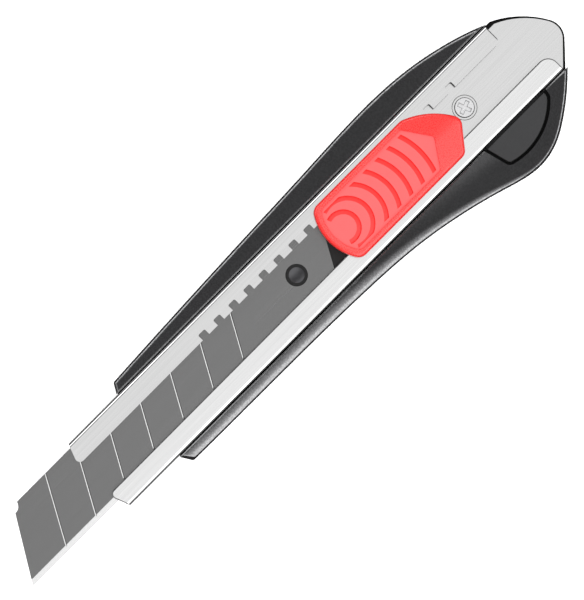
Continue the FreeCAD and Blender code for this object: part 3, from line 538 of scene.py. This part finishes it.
class KNIFE_OT_fittings(bpy.types.Operator):
    """Finishes the screws, insert, springs, rivets and peg"""
    bl_idname = "knife.fittings"
    bl_label = "Fittings"

    def execute(self, context):
        finish(turned("steel_nickel_plated", linear("#E6E6E7"), 0.22), "rail_screw", "back_screws")
        finish(turned("spring_steel_drawn", linear("#A9A9AC"), 0.3), "lock_spring", "button_spring",
               "spring_rivets")
        finish(turned("steel_blackened", linear("#4C4C4E"), 0.4), "blade_peg")
        finish(turned("brass_turned", linear("#D9B36A"), 0.3), "screw_insert")
        return {"FINISHED"}


def turned(name, colour, roughness):
    # Small turned or drawn metal parts: fine tool marks that blur the reflection unevenly.
    material, tree, place = start(name)
    marks = add(tree, "TexNoise", {"Vector": place, "Scale": 1 / (0.2 * MM), "Detail": 3.0})
    sheen = {"Value": marks, "To Min": roughness - 0.04, "To Max": roughness + 0.08}
    relief = {"Height": marks, "Strength": 0.05, "Distance": 0.01 * MM}
    surface(tree, {"Base Color": shade(tree, colour, marks, 0.94, 1.03), "Metallic": 1.0,
                   "Roughness": add(tree, "MapRange", sheen), "Normal": add(tree, "Bump", relief)})
    return material


# ---- stage -------------------------------------------------------------------------------------------

class KNIFE_OT_stage(bpy.types.Operator):
    """Sets up the table, the lights and the camera"""
    bl_idname = "knife.stage"
    bl_label = "Stage"

    def execute(self, context):
        settings = context.scene.knife_stage
        scene = context.scene
        scene.view_settings.view_transform = "Standard"
        table()
        world(scene, settings.room)
        softbox("key_softbox", 38.0, -90.0, 0.65, (0.58, 1.2), settings.key)
        softbox("rim_softbox", 50.0, 90.0, 0.7, (0.36, 1.3), settings.rim)
        # The sky panel lights the paper evenly; polished metal doesn't mirror it, so folds stay crisp.
        sky = softbox("sky_panel", 0.0, 0.0, 1.4, (1.6, 1.6), settings.fill)
        sky.visible_glossy = False
        scene.camera = camera_above(settings)
        return {"FINISHED"}


def camera_above(settings):
    """A camera that looks straight down, turned so that the knife lies across the frame."""
    camera = bpy.data.objects.new("camera", bpy.data.cameras.new("camera"))
    bpy.context.scene.collection.objects.link(camera)
    camera.location = Vector(AIM) + Vector((0.0, 0.0, settings.height))
    camera.rotation_euler = (0.0, 0.0, -settings.turn)
    camera.data.sensor_width = SENSOR
    camera.data.lens = SENSOR * settings.height / settings.framed
    camera.data.clip_start = 0.01
    return camera


def softbox(name, tilt, bearing, distance, size, radiance):
    """An area light aimed at the knife, tilt degrees from straight up, towards a bearing from +X."""
    light = bpy.data.lights.new(name, "AREA")
    light.shape = "RECTANGLE"
    light.size, light.size_y = size
    light.energy = radiance * math.pi * light.size * light.size_y
    box = bpy.data.objects.new(name, light)
    bpy.context.scene.collection.objects.link(box)
    aim = Matrix.Rotation(math.radians(bearing), 4, "Z") @ Matrix.Rotation(math.radians(tilt), 4, "Y")
    box.matrix_world = aim @ Matrix.Translation((0.0, 0.0, distance))
    return box


def world(scene, strength):
    """Light all round: a bright ceiling patch overhead, lit end walls, dim side walls and a paler floor."""
    room = bpy.data.worlds.new("studio_room")
    room.use_nodes = True
    tree = room.node_tree
    tree.nodes.clear()
    way = add(tree, "SeparateXYZ", {"Vector": add(tree, "TexCoord").outputs["Generated"]}).outputs
    levels = ((0.0, 0.22), (0.44, 0.22), (0.47, 0.06), (0.55, 0.1), (0.976, 0.13), (0.987, 1.0), (1.0, 1.0))
    stops = [(position, (level, level, level)) for position, level in levels]
    height = add(tree, "MapRange", {"Value": way["Z"], "From Min": -1.0})
    glow = add(tree, "ValToRGB", {"Fac": height}, stops)
    along = add(tree, "Math", {0: way["X"]}, operation="ABSOLUTE")
    walls = add(tree, "MapRange", {"Value": along, "From Min": 0.3, "From Max": 0.75, "To Max": 0.55})
    raised = add(tree, "MapRange", {"Value": way["Z"], "From Min": 0.05, "From Max": 0.25})
    ends = add(tree, "Math", {0: walls, 1: raised}, operation="MULTIPLY")
    light = {"Color": add(tree, "Math", {0: glow, 1: ends}, operation="ADD"), "Strength": strength}
    add(tree, "OutputWorld", {"Surface": add(tree, "Background", light)})
    scene.world = room


def table():
    """A sheet of white background paper under the knife, wide enough that its edges never show."""
    mesh = bpy.data.meshes.new("table")
    corners = [(x * TABLE_HALF, y * TABLE_HALF, 0) for x, y in ((-1, -1), (1, -1), (1, 1), (-1, 1))]
    mesh.from_pydata(corners, [], [(0, 1, 2, 3)])
    top = bpy.data.objects.new("table", mesh)
    bpy.context.scene.collection.objects.link(top)
    top.location.z = -TABLE_DROP
    top.visible_glossy = False
    mesh.materials.append(paper_matt_white())


def paper_matt_white():
    # Matt white background paper, lit from behind a little so that shadows on it stay faint. Its tooth is
    # coarser than real paper's, so that it shows.
    material, tree, place = start("paper_matt_white")
    tooth = add(tree, "TexNoise", {"Vector": place, "Scale": 1 / (2.5 * MM), "Detail": 2.0})
    relief = {"Height": tooth, "Strength": 0.1, "Distance": 0.05 * MM}
    surface(tree, {"Base Color": (0.93, 0.93, 0.93, 1.0), "Roughness": 0.8,
                   "Emission Color": (1.0, 1.0, 1.0, 1.0), "Emission Strength": 0.3,
                   "Normal": add(tree, "Bump", relief)})
    return material


# ---- panel -------------------------------------------------------------------------------------------

STEPS = (KNIFE_OT_blade, KNIFE_OT_rail, KNIFE_OT_grips, KNIFE_OT_slider, KNIFE_OT_mouldings,
         KNIFE_OT_fittings, KNIFE_OT_stage)
GROUPS = {"knife_sizes": KnifeSizes, "knife_colours": KnifeColours, "knife_patterns": KnifePatterns,
          "knife_stage": StageSettings}


class KNIFE_PT_panel(bpy.types.Panel):
    """Lists the knife's pieces and their settings"""
    bl_idname = "KNIFE_PT_panel"
    bl_label = "Utility knife"
    bl_space_type = "VIEW_3D"
    bl_region_type = "UI"
    bl_category = "Knife"

    def draw(self, context):
        for name, group in GROUPS.items():
            box = self.layout.box()
            for setting in group.__annotations__:
                box.prop(getattr(context.scene, name), setting)
        for step in STEPS:
            self.layout.operator(step.bl_idname)


CLASSES = (*GROUPS.values(), *STEPS, KNIFE_PT_panel)


def register():
    for cls in CLASSES:
        bpy.utils.register_class(cls)
    for name, group in GROUPS.items():
        setattr(bpy.types.Scene, name, PointerProperty(type=group))


def unregister():
    for name in GROUPS:
        delattr(bpy.types.Scene, name)
    for cls in reversed(CLASSES):
        bpy.utils.unregister_class(cls)


def main():
    register()
    for step in STEPS:
        group, name = step.bl_idname.split(".")
        getattr(getattr(bpy.ops, group), name)()


if __name__ == "__main__":
    main()
